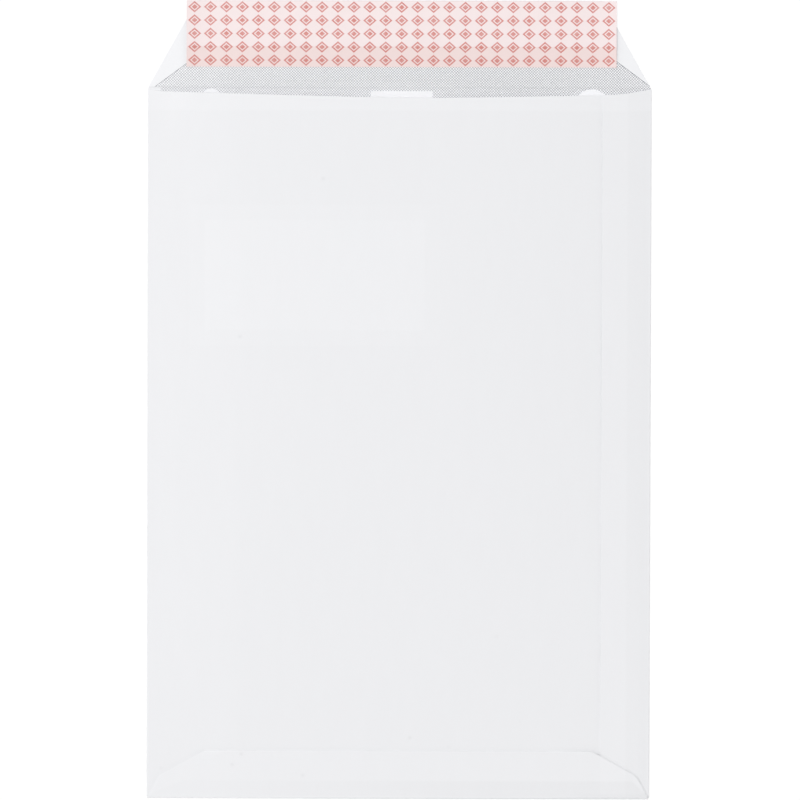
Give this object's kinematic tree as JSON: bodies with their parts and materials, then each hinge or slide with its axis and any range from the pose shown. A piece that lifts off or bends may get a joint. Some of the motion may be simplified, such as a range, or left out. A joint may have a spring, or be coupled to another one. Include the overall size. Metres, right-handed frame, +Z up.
{
  "type": "window envelope",
  "caption": "Large pocket envelope lying on its front, with an address window, a side and a bottom seam, and an open flap with a liner over its adhesive.",
  "frame": {"origin": "under the middle of the whole outline, on the surface that the envelope lies on", "axes": "+Z up out of the seamed back, +Y from the bottom fold to the open flap, +X towards the side flap's fold"},
  "size_m": [0.229, 0.3634, 0.0071],
  "materials": {
    "paper": "uncoated white wove paper, with a grey hatch printed on its inner face",
    "film": "clear glossy window film",
    "glue": "dried paper glue",
    "adhesive": "pressure-sensitive adhesive",
    "liner": "thin translucent release paper with a small coral print"
  },
  "bodies": {
    "root": {"envelope_sheet": "paper", "window_film": "film", "window_glue": "glue", "side_seam_glue": "glue", "bottom_seam_glue": "glue", "flap_adhesive": "adhesive", "release_liner": "liner"}
  },
  "joints": []
}
